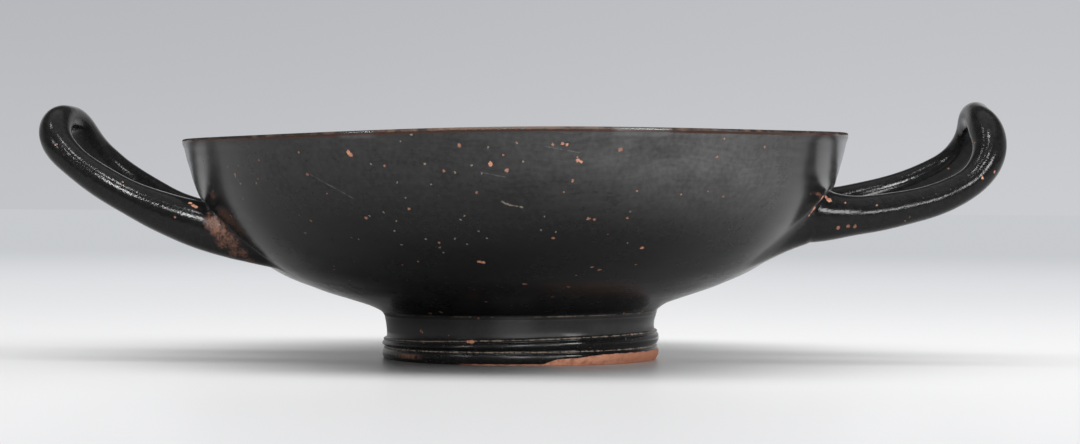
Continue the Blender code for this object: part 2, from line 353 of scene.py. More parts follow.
def with_tails(handle, line):
    """Carry both ends of the line on into the wall, sloping down and flaring as smeared clay does."""
    slope = math.radians(handle["tail_slope"])
    inward = np.array([-handle["side"] * math.cos(slope), 0, -math.sin(slope), handle["tail_flare"], 0])
    steps = np.linspace(TAIL_LENGTH, 0, TAIL_STEPS + 1)[:-1, None]
    return np.vstack([line[0] + steps * inward, line, (line[-1] + steps * inward)[::-1]])


print("left crown:", round(handle_line(LEFT)[:, 2].max(), 1), "mm up, along the middle of the clay")


# %% Carry a round section along the line
HANDLE_PACE = 0.9
HANDLE_COLUMNS = 40


def unit(vectors):
    """Each row divided by its length."""
    return vectors / np.linalg.norm(vectors, axis=1, keepdims=True)


def roll_of_clay(handle):
    """The section at each step is centre + radius * (cos(a) * sideways + sin(a) * upward).  upward leans back
    as the strand climbs, (-side * sin(climb), 0, cos(climb)), made square to the line, and sideways is square
    to both.  Each end closes in a point."""
    line = with_tails(handle, handle_line(handle))
    distance = travelled(line[:, :3])
    wanted = np.linspace(0, distance[-1], int(distance[-1] / HANDLE_PACE))
    line = np.column_stack([np.interp(wanted, distance, column) for column in line.T])
    centre, radius, climb = line[:, :3], line[:, 3, None, None], line[:, 4]
    forward = unit(np.gradient(centre, axis=0))
    upward = np.column_stack([-handle["side"] * np.sin(climb), 0 * climb, np.cos(climb)])
    upward = unit(upward - forward * np.sum(forward * upward, axis=1, keepdims=True))
    sideways = np.cross(forward, upward)
    angle = (np.arange(HANDLE_COLUMNS) * math.tau / HANDLE_COLUMNS)[None, :, None]
    rings = centre[:, None] + radius * (np.cos(angle) * sideways[:, None] + np.sin(angle) * upward[:, None])
    points = np.vstack([centre[:1], rings.reshape(-1, 3), centre[-1:]])
    return points, closed_grid_faces(len(centre), HANDLE_COLUMNS), centre, line[:, 3]


rolls, lines = [], {}
for handle in (LEFT, RIGHT):
    points, faces, centre, radius = roll_of_clay(handle)
    rolls.append(mesh_object(handle["name"] + "_roll", leaned(points), faces))
    lines[handle["name"]] = np.column_stack([leaned(centre), radius])
    print(handle["name"], "handle:", round(travelled(centre)[-1]), "mm of clay,", len(faces), "faces")

# %% [markdown]
# ## Joining the clay
#
# On the real cup the handles are luted on with slip and smoothed over. Here their inner ends are first
# trimmed at the middle of the wall, so that nothing shows inside the bowl, and then an exact Boolean union
# makes one skin.

# %% Trim the rolls and join them to the body
CORE_FLOOR = 17.0
CORE_ABOVE_RIM = 12.0
CORE_RISE = 0.6
CORE_STEPS, CORE_COLUMNS = 4, 96


def wall_core():
    """A solid that fills the bowl out to the middle of its wall."""
    outside = curve_through(bowl_outside(), CORE_STEPS)
    inset = outside[outside[:, 1] > CORE_FLOOR] - [WALL_THICKNESS / 2, -CORE_RISE]
    top = RIM_HEIGHT + CORE_ABOVE_RIM
    outline = np.vstack([[(0, top), (RIM_RADIUS, top)], inset, [(0, CORE_FLOOR)]])
    points, faces = turned(outline, CORE_COLUMNS)
    return mesh_object("wall_core", leaned(settle(points)), faces)


def boolean(target, operation, other):
    """Give an object an exact Boolean modifier."""
    modifier = target.modifiers.new(operation.title(), "BOOLEAN")
    modifier.operation = operation
    modifier.solver = "EXACT"
    modifier.object = other


def evaluated_mesh(source):
    """The mesh an object has once its modifiers have run."""
    bpy.context.view_layer.update()
    return bpy.data.meshes.new_from_object(source.evaluated_get(bpy.context.evaluated_depsgraph_get()))


def discard(*objects):
    """Remove helper objects."""
    for helper in objects:
        bpy.data.objects.remove(helper, do_unlink=True)


core = wall_core()
for roll in rolls:
    boolean(roll, "DIFFERENCE", core)
    boolean(body, "UNION", roll)
skin = evaluated_mesh(body)
discard(body, core, *rolls)
print("joined:", len(skin.vertices), "vertices,", len(skin.polygons), "faces")

# %% [markdown]
# ## Smoothing the joints
#
# A potter wipes the joint with a wet finger, so wall and handle run into each other in a small hollow
# curve. To get it, each surface is described by a distance: how far a point lies outside the wall, and how
# far outside a handle. The smaller of the two is the plain union. A smooth minimum rounds the corner
# between them, and the vertices near the joint are moved on to its zero. Its gradient then gives their
# exact normals.

# %% How far a point is from the wall and from the handles
CHUNK = 8192
WALL_START = len(walked[0]) + len(walked[1]) - 2
WALL = profile[WALL_START:WALL_START + len(walked[2])]


def turned_place(points):
    """Radius and height on the turned pot: lean, sag and shift taken back, by their size at the point."""
    standing = leaned(points, -LEAN)
    x, y, z = (standing - (settle(standing) - standing)).T
    return np.column_stack([np.hypot(x, y), z])


def nearest_on_outline(places, outline):
    """Signed distance to a line of segments, positive to the left of its direction of travel, and how far
    along it the nearest point is: for each segment the foot of the perpendicular, clipped to its ends."""
    start, step = outline[:-1], np.diff(outline, axis=0)
    length = np.linalg.norm(step, axis=1)
    along = travelled(outline)
    signed, where = np.empty(len(places)), np.empty(len(places))
    for first in range(0, len(places), CHUNK):
        offset = places[first:first + CHUNK, None] - start
        share = np.clip(np.sum(offset * step, axis=2) / length ** 2, 0, 1)
        gap = np.linalg.norm(offset - share[:, :, None] * step, axis=2)
        best = np.argmin(gap, axis=1)
        row = np.arange(len(best))
        side = step[best, 0] * offset[row, best, 1] - step[best, 1] * offset[row, best, 0]
        signed[first:first + CHUNK] = np.where(side > 0, 1, -1) * gap[row, best]
        where[first:first + CHUNK] = along[best] + share[row, best] * length[best]
    return signed, where


def wall_distance(points):
    """Millimetres outside the bowl's outer wall."""
    return nearest_on_outline(turned_place(points), WALL)[0]


def handle_distance(points, line):
    """Millimetres outside a handle: the least |p - centre| - radius over the points of its line."""
    centres, radii = line[:, :3], line[:, 3]
    outside = np.empty(len(points))
    for first in range(0, len(points), CHUNK):
        some = points[first:first + CHUNK]
        squared = (np.sum(some ** 2, axis=1)[:, None] + np.sum(centres ** 2, axis=1)
                   - 2 * some @ centres.T)
        gap = np.sqrt(np.maximum(squared, 0)) - radii
        outside[first:first + CHUNK] = gap.min(axis=1)
    return outside


print("wall to measure from:", len(WALL), "points of the profile")

# %% Move the vertices near the joints on to the smooth union
BLENDS = {"left": (1.6, 0.9), "right": (1.4, 4.0)}
BLEND_FADE = (-2.0, 7.0)
PROBE = 0.02
DEEPEST = -0.3
PASSES = 3


def blend_width(name, points):
    """One width on top of a joint and another under it, where the clay was drawn down the wall."""
    over, under = BLENDS[name]
    above_root = points[:, 2] - lines[name][0, 2]
    return over + (under - over) * (1 - smoothstep(above_root, *BLEND_FADE))


def smooth_union(points, name):
    """min(a, b) - h^2 k / 4 with h = max(k - |a - b|, 0) / k, for a wall distance a, a handle distance b
    and a width k."""
    wall, roll = wall_distance(points), handle_distance(points, lines[name])
    width = blend_width(name, points)
    corner = np.maximum(width - np.abs(wall - roll), 0) / width
    return np.minimum(wall, roll) - corner ** 2 * width / 4


def gradient(points, name):
    """Central differences of the smooth union."""
    steps = np.eye(3) * PROBE
    return np.column_stack([smooth_union(points + step, name) - smooth_union(points - step, name)
                            for step in steps]) / (2 * PROBE)


points = np.empty(len(skin.vertices) * 3)
skin.vertices.foreach_get("co", points)
points = points.reshape(-1, 3) / MM
normals = np.zeros_like(points)
for name, line in lines.items():
    nearby = np.flatnonzero((points[:, 0] * line[:, 0].mean() > 0) & (np.abs(points[:, 0]) > RIM_RADIUS / 2)
                            & (points[:, 2] > CORE_FLOOR))
    wall, roll = wall_distance(points[nearby]), handle_distance(points[nearby], line)
    width = blend_width(name, points[nearby])
    nearby = nearby[(np.minimum(wall, roll) > DEEPEST) & (np.abs(wall - roll) < width)]
    for _ in range(PASSES):
        slope = gradient(points[nearby], name)
        points[nearby] -= smooth_union(points[nearby], name)[:, None] * slope
    normals[nearby] = unit(slope)
    print(name, "joint:", len(nearby), "vertices smoothed")

# %% [markdown]
# ## Marks of the hand
#
# Nothing turned by hand is exact. A black gloss shows the least unevenness, because it bends every
# reflection, so the skin gets a very shallow unevenness: faint rings from the potter's fingers round the
# bowl, and slight flats along the handles. Each is a sum of sine waves with random directions and phases,
# from a fixed seed.

# %% Uneven the surface
rng = np.random.default_rng(7)


def waves(places, wavelengths, count):
    """Sine waves, sin(2 pi p . d / wavelength + phase), of random directions d and phases, added up and
    divided by the square root of their count."""
    total = np.zeros(len(places))
    for wavelength in np.geomspace(*wavelengths, count):
        direction = rng.normal(size=places.shape[1])
        direction /= np.linalg.norm(direction)
        total += np.sin(places @ direction * math.tau / wavelength + rng.uniform(0, math.tau))
    return total / math.sqrt(count)


def vertex_normals(mesh):
    """The mesh's own vertex normals as an array."""
    values = np.empty(len(mesh.vertices) * 3)
    mesh.vertices.foreach_get("normal", values)
    return values.reshape(-1, 3)


def put_points(mesh, points):
    """Write points in millimetres back into a mesh."""
    mesh.vertices.foreach_set("co", (points * MM).ravel())
    mesh.update()


# %% Rings on the bowl and flats on the handles
BODY_UNEVENNESS, HANDLE_UNEVENNESS = 0.05, 0.09
RING_WAVES, FLAT_WAVES = ((9, 60), 14), ((12, 40), 10)
RING_SQUEEZE = 6
FAR_OFF = 99.0

put_points(skin, points)
places = turned_place(points)
wall_gap = wall_distance(points)
roll_gap = np.full(len(points), FAR_OFF)
for line in lines.values():
    outer = np.flatnonzero(points[:, 0] * line[:, 0].mean() > 0)
    roll_gap[outer] = handle_distance(points[outer], line)
on_handle = smoothstep(wall_gap - roll_gap, -0.5, 0.5) * (places[:, 1] > CORE_FLOOR) * (wall_gap > -0.5)
away_from_joint = smoothstep(np.maximum(wall_gap, roll_gap), 0.5, 4.0)
rings = waves(np.column_stack([places[:, 1] * RING_SQUEEZE, points]), *RING_WAVES)
flats = waves(points, *FLAT_WAVES)
uneven = BODY_UNEVENNESS * rings * (1 - on_handle) + HANDLE_UNEVENNESS * flats * on_handle
off_the_table = smoothstep(points[:, 2], 0.3, 4.0)
below_the_lip = smoothstep(RIM_HEIGHT - places[:, 1], 0.5, 3.0)
uneven *= off_the_table * away_from_joint * below_the_lip
points += vertex_normals(skin) * uneven[:, None]
put_points(skin, points)
print("unevenness: up to", round(float(np.abs(uneven).max()), 2), "mm")

# %% [markdown]
# ## What the finish needs to know
#
# The gloss wears on edges and along the turning, so the finish has to know where it is on the pot: how far
# along the profile, and whether it is on a handle. Both are stored on the vertices as attributes, which the
# material reads by name. The exact normals of the joints are set too; a vertex whose normal is given as
# zero keeps the one Blender works out.

# %% Store the places as attributes
CREASE_ANGLE = 40.0


def store(mesh, name, values):
    """A number for each vertex, under a name that the material reads."""
    mesh.attributes.new(name, "FLOAT", "POINT").data.foreach_set("value", values.astype(np.float32))


store(skin, "along", nearest_on_outline(places, profile)[1])
store(skin, "on_handle", on_handle)
skin.shade_smooth()
skin.set_sharp_from_angle(angle=math.radians(CREASE_ANGLE))
skin.normals_split_custom_set_from_vertices(normals.tolist())
kylix = bpy.data.objects.new("kylix", skin)
bpy.context.scene.collection.objects.link(kylix)
skin.name = "kylix"
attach(kylix, "root")
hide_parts(CUP_NODE)
print("kylix:", len(skin.vertices), "vertices, on the handles", int(on_handle.sum()))

# %% [markdown]
# ## Camera
#
# Pottery is seen best through a long lens from a little below the rim, so that the ellipses stay flat and the
# profile reads clearly. The camera is only turned, never shifted.

# %% Camera
CAMERA_DISTANCE, CAMERA_HEIGHT = 0.739, 0.0432
LENS, YAW, PITCH, ROLL = 90.6, 0.39, 0.485, 0.34


def look_from(distance, height, yaw, pitch, roll):
    """A camera in front of the cup: turned right by yaw, tipped down by pitch, and rolled, in degrees."""
    turn = (Matrix.Rotation(-math.radians(yaw), 4, "Z") @ Matrix.Rotation(math.radians(90 - pitch), 4, "X")
            @ Matrix.Rotation(math.radians(roll), 4, "Z"))
    return Matrix.Translation(Vector((0, -distance, height))) @ turn


camera = bpy.data.objects.new("camera", bpy.data.cameras.new("camera"))
bpy.context.scene.collection.objects.link(camera)
camera.data.lens = LENS
camera.data.sensor_width = 36.0
camera.data.clip_start = 0.01
camera.data.clip_end = 50.0
camera.matrix_world = look_from(CAMERA_DISTANCE, CAMERA_HEIGHT, YAW, PITCH, ROLL)
bpy.context.scene.camera = camera
print("camera:", CAMERA_DISTANCE, "m away,", LENS, "mm lens")

# %% [markdown]
# ## A short way to write a shader
#
# A material is a graph of nodes, and its formulas are easier to read as formulas. Signal wraps one output
# of a node. Adding or multiplying two signals adds the Math node that does it, and node() adds any other
# kind. Most signals here are masks: 0 where nothing has happened to the finish, and 1 where the change is
# complete.

# %% Signals
class Signal:
    """One output socket in a node tree."""

    def __init__(self, tree, socket=None):
        self.tree = tree
        self.socket = socket

    def node(self, kind, settings=None, sockets=None, output=0):
        """Add a node: its settings first, then a value or a link for each socket named."""
        made = self.tree.nodes.new("ShaderNode" + kind)
        for name, setting in (settings or {}).items():
            setattr(made, name, setting)
        for name, given in (sockets or {}).items():
            if isinstance(given, Signal):
                self.tree.links.new(given.socket, made.inputs[name])
            else:
                made.inputs[name].default_value = given
        return Signal(self.tree, made.outputs[output])

    def maths(self, operation, first, second=0.0):
        """Add a Math node."""
        return self.node("Math", {"operation": operation}, {0: first, 1: second})

    def __add__(self, other):
        return self.maths("ADD", self, other)

    def __radd__(self, other):
        return self.maths("ADD", other, self)

    def __sub__(self, other):
        return self.maths("SUBTRACT", self, other)

    def __rsub__(self, other):
        return self.maths("SUBTRACT", other, self)

    def __mul__(self, other):
        return self.maths("MULTIPLY", self, other)

    def __rmul__(self, other):
        return self.maths("MULTIPLY", other, self)

    def __pow__(self, other):
        return self.maths("POWER", self, other)

    def __abs__(self):
        return self.maths("ABSOLUTE", self)

    def least(self, other):
        return self.maths("MINIMUM", self, other)

    def most(self, other):
        return self.maths("MAXIMUM", self, other)

    def fade(self, start, end):
        """0 at start, 1 at end, and a smooth step between them; start may be the larger."""
        limits = {"Value": self, "From Min": start, "From Max": end}
        return self.node("MapRange", {"interpolation_type": "SMOOTHSTEP"}, limits)


# %% Places, noise and colours in a shader
def clay_place(tree):
    """Object coordinates in millimetres with the pot's lean taken back, so that z is a height on the pot."""
    where = tree.node("TexCoord", output="Object")
    sockets = {"Vector": where, "Rotation": (0.0, math.radians(LEAN), 0.0), "Scale": (1 / MM,) * 3}
    return tree.node("Mapping", {"vector_type": "POINT"}, sockets)


def coordinate(place, axis):
    """One coordinate of a place."""
    return place.node("SeparateXYZ", {}, {"Vector": place}, axis)


def stretched(place, x, y, z):
    """The place multiplied by a number for each axis, which squeezes or draws out a pattern."""
    return place.node("VectorMath", {"operation": "MULTIPLY"}, {0: place, 1: (x, y, z)})


def noise(place, size, detail, output=0):
    """Soft blotches about size millimetres across, with values around a half."""
    return place.node("TexNoise", {}, {"Vector": place, "Scale": 1 / size, "Detail": detail}, output)


def stored(tree, name):
    """A number stored on the vertices."""
    return tree.node("Attribute", {"attribute_name": name}, {}, "Fac")


def blend_colour(share, below, above):
    """The colour below where the share is 0 and the colour above where it is 1."""
    return share.node("Mix", {"data_type": "RGBA"}, {"Factor": share, "A": below, "B": above}, "Result")


# %% [markdown]
# ## Wear that follows the edges
#
# The slip is thinnest where the brush and the wheel leave an edge, and every edge has been rubbed for
# centuries. On this cup the gloss is gone along the outer edge of the rim, in a thin line that is tan in
# front and brown towards the handles, and along the two ridges of the foot. On two short stretches of the
# rim it is whole, and shines. A band round a chosen place on the profile, with its width broken up by
# noise, gives such a line.

# %% Bands round places on the profile
def along_at(radius, height):
    """How far along the profile the point nearest to this radius and height is."""
    return float(nearest_on_outline(np.array([[radius, height]], float), profile)[1][0])


def band(along, centre, width, ragged, soft=0.08):
    """1 within width * ragged of a place on the profile, and 0 beyond."""
    return (width * ragged - abs(along - centre)).fade(-soft, soft)


KEPT_STRETCHES = [(-39.3, 5.5), (30.0, 8.0)]
KEPT_FADE = 2.5
RIM_EDGE = along_at(RIM_RADIUS - 0.25, RIM_HEIGHT - 0.2)
RIM_SHOULDER = along_at(RIM_RADIUS - 0.2, RIM_HEIGHT - 0.95)
UPPER_RIDGE = along_at(FOOT_RADIUS - 0.34, 7.2)
LOWER_RIDGE = along_at(FOOT_RADIUS - 0.3, 3.5)
CREASE = along_at(37.2, 12.7)
print("along the profile: rim", round(RIM_EDGE, 1), "ridges", round(UPPER_RIDGE, 1), round(LOWER_RIDGE, 1))


def kept_gloss(place):
    """The stretches of the front of the edge where the gloss is whole: 0 further than half a width in x from
    both their middles."""
    x, front = coordinate(place, "X"), coordinate(place, "Y").fade(-20.0, -30.0)
    first, second = (abs(x - middle).fade(half, half - KEPT_FADE) for middle, half in KEPT_STRETCHES)
    return first.most(second) * front


def rim_wear(place, along):
    """The rubbed outer edge of the rim, wide and narrow by turns."""
    ragged = noise(stretched(place, 1, 1, 0.2), 1.1, 4) * 1.6 + noise(place, 9, 2) * 1.4 - 0.7
    return band(along, RIM_EDGE, 0.5, ragged, 0.14) * (1 - kept_gloss(place) * 0.95)


def rim_tan(place):
    """How far the worn edge is tan and not brown: most in the middle of the front, least at the handles."""
    middle = abs(coordinate(place, "X") - 4.0).fade(70.0, 10.0)
    return (noise(place, 2.6, 4) * 0.9 + noise(place, 14, 2) * 0.7 + middle * 0.4).fade(0.8, 1.25)


def rim_stain(place, along):
    """In the scored line under the edge the slip is thin and has fired brown."""
    ragged = noise(stretched(place, 1, 1, 0.2), 2.5, 4) + noise(place, 21, 1) * 1.4 - 0.1
    return band(along, RIM_SHOULDER, 0.3, ragged, 0.12)


def ridge_wear(place, along):
    """The two ridges of the foot, thinner and more broken than the rim, and the crease over the neck."""
    fine = noise(stretched(place, 1, 1, 0.3), 0.9, 4)
    broad = noise(place, 7, 2)
    upper = band(along, UPPER_RIDGE, 0.3, fine * 3.4 + broad * 2.0 - 2.3, 0.06)
    lower = band(along, LOWER_RIDGE, 0.28, fine * 3.4 + broad * 1.4 - 1.9, 0.06)
    crease = band(along, CREASE, 0.3, fine * 2.4 + broad * 2.4 - 2.3, 0.06)
    return upper.most(lower).most(crease)


# %% [markdown]
# ## Bare clay on the foot
#
# The potter wiped the slip off the ring that stands on the table, and on one side the bare clay climbs over
# the whole lower band. Its upper limit is a height that changes with x across the front of the foot, and a
# noise makes that limit wobble as a wiped edge does.

# %% Bare clay on the foot
def bare_foot(place):
    """Bare below a height that climbs from the table to the lower ridge across the front, and on the
    resting ring everywhere."""
    x, height = coordinate(place, "X"), coordinate(place, "Z")
    front = coordinate(place, "Y").fade(4.0, -4.0)
    wobble = noise(place, 2.2, 4) - 0.5
    climb = x.fade(5.6, 10.0) * 1.5 + x.fade(10.0, 24.0) * 0.85
    line = x.fade(-17.0, -15.0) * x.fade(9.0, 7.0) * 0.3
    limit = (climb + line) * front + 0.12
    shown = (limit + wobble * (climb * 0.12 + 0.4) - height).fade(-0.1, 0.1)
    return shown * height.fade(4.4, 4.0)


def rubbed_foot(place):
    """A soft worn patch low on the left of the foot, where the slip is thin but not quite gone."""
    x, height = coordinate(place, "X"), coordinate(place, "Z")
    front = coordinate(place, "Y").fade(-8.0, -14.0)
    inside = abs(x + 29.7).fade(4.5, 1.0) * abs(height - 1.9).fade(0.9, 0.3) * front
    return inside * noise(place, 0.9, 4).fade(0.3, 0.6)


# %% [markdown]
# ## Chips, pits and scratches
#
# Small flakes of slip have come away all over the cup and show the clay. The larger ones are listed one by
# one, each a bearing and a height on the wall, in groups by radius: chips, faint chips where only part of the
# slip is gone, and pale flecks of dust. Very small pits come from a Voronoi pattern, whose cells give each
# pit a place and a size.

# %% Chips listed one by one
OUTSIDE = np.vstack(walked[2:-2])
ROUNDS = 4
CHIPS = {
    0.58: [(-26.8, 53.7), (-3.8, 51.5), (-7.4, 27.7), (-20.2, 6.2)],
    0.5: [(9.9, 52.5), (24.9, 31.3), (-6.6, 27.5), (-27.1, 54.3)],
    0.38: [(7.4, 56.5), (8.1, 56.3), (10.4, 52.2), (-21.6, 6.2), (-20.4, 6.2), (-19.2, 6.2), (-9.5, 16.9)],
}
FAINT_CHIPS = {
    0.5: [(-1.3, 50.0), (16.7, 55.2), (12.6, 38.5), (18.2, 25.6), (-8.6, 55.9), (2.1, 21.9), (13.1, 21.2),
          (-37.3, 13.3), (-31.3, 13.7)],
    0.4: [(-26.6, 38.3), (-14.3, 32.4), (13.7, 38.3), (6.8, 33.7), (16.2, 26.4), (9.2, 47.6), (-6.2, 44.7),
          (10.4, 18.5), (5.9, 56.3), (44.2, 56.5), (-35.8, 48.9), (-54.3, 48.8)],
    0.3: [(0.3, 56.6), (-38.7, 37.4), (19.6, 38.7), (25.8, 27.0), (37.3, 44.1), (34.2, 53.8), (-18.1, 40.6),
          (-65.6, 52.6), (-11.3, 49.8), (47.1, 13.3), (60.4, 13.5), (-46.1, 8.4), (-45.2, 8.0)],
}
FLECKS = {
    0.25: [(-14.3, 51.5), (-9.5, 49.4), (-6.8, 51.1), (-5.3, 49.2), (-19.3, 46.9), (-13.6, 46.6),
           (-18.3, 43.3), (-8.7, 39.0), (-9.4, 38.0), (-6.5, 35.3), (-5.2, 33.6), (-11.1, 33.4),
           (-16.6, 33.2), (-14.4, 31.2), (-14.0, 29.9), (-9.0, 32.1), (5.0, 39.0), (4.5, 35.7), (7.2, 35.2),
           (-21.8, 31.8), (-22.9, 39.8), (-23.4, 51.5), (-25.8, 38.8), (-41.9, 34.3), (-56.4, 37.6),
           (-52.5, 51.2), (-48.5, 46.7), (-53.2, 46.7), (-54.3, 42.9), (-66.2, 46.6), (-65.4, 44.7),
           (-56.1, 50.9), (-63.4, 38.4), (-17.9, 56.9), (-16.1, 58.4), (-4.1, 55.5), (1.3, 52.1),
           (19.9, 40.2), (21.3, 32.6), (-21.0, 37.7), (-22.0, 35.3), (-31.6, 33.3)],
}


def on_wall(mark):
    """The point of the outside, from the lip to the foot, at a bearing and a height in the world.  The height
    on the pot is what is left once the lift and the lean there are taken off, found in a few rounds."""
    bearing, height = mark
    angle = math.radians(bearing)
    own = height
    for _ in range(ROUNDS):
        radius = np.interp(own, OUTSIDE[::-1, 1], OUTSIDE[::-1, 0])
        point = settle(np.array([[radius * math.sin(angle), -radius * math.cos(angle), own]]))
        own += height - leaned(point)[0, 2]
    return point[0]


def spots(place, centres, radius, soft):
    """1 within radius of any of the centres: the least distance, faded at the radius."""
    gaps = [place.node("VectorMath", {"operation": "DISTANCE"}, {0: place, 1: tuple(centre)}, "Value")
            for centre in centres]
    return reduce(Signal.least, gaps).fade(radius + soft, radius - soft)


def marks(place, groups, where, soft):
    """All the spots of a set of groups, each group with its radius; where() turns a mark into a point."""
    return reduce(Signal.most, [spots(place, [where(mark) for mark in listed], radius, soft)
                                for radius, listed in groups.items()])


def shaken(place, size, amount):
    """The place shifted by a colour noise, which makes the outline of a round mark irregular."""
    shift = place.node("VectorMath", {"operation": "SUBTRACT"},
                       {0: noise(place, size, 2, "Color"), 1: (0.5, 0.5, 0.5)})
    return place.node("VectorMath", {"operation": "MULTIPLY_ADD"}, {0: shift, 1: (amount,) * 3, 2: place})


print("set by hand:", sum(len(listed) for groups in (CHIPS, FAINT_CHIPS, FLECKS)
                          for listed in groups.values()), "marks on the wall")

# %% Pits from a Voronoi pattern
PIT_CELL, PIT_RADIUS, PIT_POWER = 3.6, 0.34, 3.0
FLAKE_CELL, FLAKE_RADIUS, FLAKE_POWER = 8.0, 0.8, 2.0


def scattered(place, cell, largest, power):
    """Round marks with a random radius: largest * random^power, less the distance to the cell's own point."""
    pattern = {"feature": "F1"}
    sockets = {"Vector": place, "Scale": 1 / cell, "Randomness": 1.0}
    distance = place.node("TexVoronoi", pattern, sockets, "Distance") * cell
    random = coordinate(place.node("TexVoronoi", pattern, sockets, "Color"), "X")
    return (random ** power * largest - distance).fade(-0.05, 0.05)


def small_pits(place):
    """Pinholes everywhere, and larger flakes round the sides and back, where none are listed."""
    flakes = scattered(place, FLAKE_CELL, FLAKE_RADIUS, FLAKE_POWER)
    behind = coordinate(place, "Y").fade(-18.0, -8.0)
    return scattered(place, PIT_CELL, PIT_RADIUS, PIT_POWER).most(flakes * behind)


# %% [markdown]
# ## The worn joints
#
# The gloss has also flaked where the handles join the wall, because the clay moves there in firing and a
# hand rubs there. On the left root a patch of thin brown slip with specks of clay runs down the joint. The
# right root has a few chips, and a narrow seam of clay where the handle has begun to part from the wall.
# The chips and patches are given by their points in the world, and the seam by its points on the pot. Balls
# round such points, and a band along the seam, are faded at their edges.

# %% Worn patches at the joints
def upright(point):
    """A point of the world, turned back to where it is on the pot before the lean."""
    return leaned(np.array([point], float), -LEAN)[0]


LEFT_PATCH = {
    1.7: [(-80.6, -27.2, 36.7), (-79.4, -27.6, 35.2)],
    0.9: [(-82.0, -26.1, 38.2), (-79.0, -27.4, 33.2), (-77.6, -27.4, 34.2)],
}
LEFT_STAIN = {
    1.9: [(-80.8, -27.4, 36.4), (-79.2, -28.0, 34.4)],
    1.5: [(-78.4, -27.4, 31.4), (-76.4, -28.2, 32.6), (-75.4, -27.8, 31.0)],
    1.3: [(-73.2, -26.6, 28.6), (-71.4, -24.6, 26.6), (-75.2, -26.0, 28.6)],
}
HANDLE_CHIPS = {
    0.7: [(80.6, -26.8, 43.4)],
    0.55: [(-86.2, -24.9, 41.0), (-85.4, -25.1, 40.6), (-87.1, -24.2, 41.6), (-70.6, -24.3, 28.0),
           (79.8, -26.5, 44.2)],
    0.4: [(122.1, -18.6, 49.5), (125.6, -16.7, 51.1)],
}
FAINT_HANDLE_CHIPS = {
    0.5: [(83.0, -26.8, 36.1), (85.7, -26.1, 36.6), (87.6, -25.5, 36.6)],
    0.25: [(-90.8, -26.2, 37.9), (84.9, -25.7, 42.6), (93.5, -24.7, 42.1), (101.2, -22.7, 38.0),
           (102.4, -23.1, 39.0)],
}
SEAM = [(75.3, -29.9, 38.4), (76.9, -29.4, 40.5), (79.6, -27.2, 43.4)]


def near_line(place, start, end):
    """The distance from the segment between two points: the foot of the perpendicular is clipped to it."""
    start, end = Vector(start), Vector(end)
    step = end - start
    offset = place.node("VectorMath", {"operation": "SUBTRACT"}, {0: place, 1: tuple(start)})
    share = offset.node("VectorMath", {"operation": "DOT_PRODUCT"},
                        {0: offset, 1: tuple(step / step.length_squared)}, "Value")
    clipped = share.most(0.0).least(1.0)
    foot = share.node("VectorMath", {"operation": "SCALE"}, {0: tuple(step), "Scale": clipped})
    return offset.node("VectorMath", {"operation": "DISTANCE"}, {0: offset, 1: foot}, "Value")


def patch(place, start, end, width, ragged):
    """1 within width * ragged of a segment."""
    return (width * ragged - near_line(place, start, end)).fade(-0.12, 0.12)


def seam(place):
    """Where the right handle has begun to part from the wall: wide at its lower end, narrow at its upper."""
    ragged = noise(place, 0.8, 2)
    lower = patch(place, SEAM[0], SEAM[1], 0.4, ragged + 0.5)
    return lower.most(patch(place, SEAM[1], SEAM[2], 0.2, ragged + 0.4))


def left_root(place):
    """Specks of bare clay at the left root, and round them slip so thin that it has fired brown."""
    loose_place = shaken(place, 1.6, 2.0)
    speckle = noise(place, 0.7, 5)
    bare = marks(loose_place, LEFT_PATCH, upright, 0.7) * (0.04 + speckle.fade(0.38, 0.6) * 0.2)
    thin = marks(loose_place, LEFT_STAIN, upright, 1.0) * (0.3 + speckle.fade(0.4, 0.62) * 0.7)
    return bare, thin


# %% [markdown]
# ## The black gloss
#
# The gloss isn't paint but a film of very fine clay, sintered to a sheen, so its colour is nearly flat and
# the surface gives it life: fine grain, rings from the wheel, and wavy strokes of the brush under the rim,
# where it is also a little dusty and its grey carries painted sheen. Each of these changes the roughness or
# the height. A few long scratches are listed, as segments between two places on the wall.

# %% Grain, wheel rings and brush strokes
def grain(place, on_handle):
    """Fine grain in millimetres of height, coarser on the handles, where the slip was laid on thickly."""
    fine = (noise(place, 0.4, 2) - 0.5) * (on_handle * 0.014 + 0.012)
    return fine + (noise(place, 1.6, 2) - 0.5) * on_handle * 0.055


def wheel_rings(place):
    """Faint rings: noise drawn out round the pot."""
    return noise(stretched(place, 0.02, 0.02, 1.0), 1.3, 4) - 0.5


def strokes(place):
    """Wavy strokes in the slip: noise drawn out along curves z + 9 n = constant, where n is a broad noise.
    A second noise moves it aside, so that no cell of the pattern shows as a line."""
    broad = noise(stretched(place, 1, 1, 0.4), 24, 2) * 9.0
    aside = noise(place, 11, 2) * 1.6
    wavy = place.node("CombineXYZ", {}, {"X": coordinate(place, "X") * 0.05 + aside,
                                         "Y": coordinate(place, "Y") * 0.05 - aside,
                                         "Z": coordinate(place, "Z") + broad})
    return noise(wavy, 0.9, 3) - 0.5


# %% Scratches
SCRATCHES = {0.2: [(-35.2, 48.9, -31.1, 45.8), (-31.1, 45.8, -27.9, 43.2)],
             0.16: [(4.7, 55.8, 10.2, 54.4), (-5.5, 49.6, -1.6, 48.4)],
             0.19: [(-54.4, 49.3, -53.4, 46.2)]}
SCUFF_WIDTH = 0.32
SCUFF = [(-2.3, 42.5, -1.0, 41.7), (-1.0, 41.7, 1.1, 41.2)]


def wall_lines(place, width, segments, ragged):
    """Segments on the wall, each given by the bearing and height of both its ends."""
    return reduce(Signal.most, [patch(place, on_wall(segment[:2]), on_wall(segment[2:]), width, ragged)
                                for segment in segments])


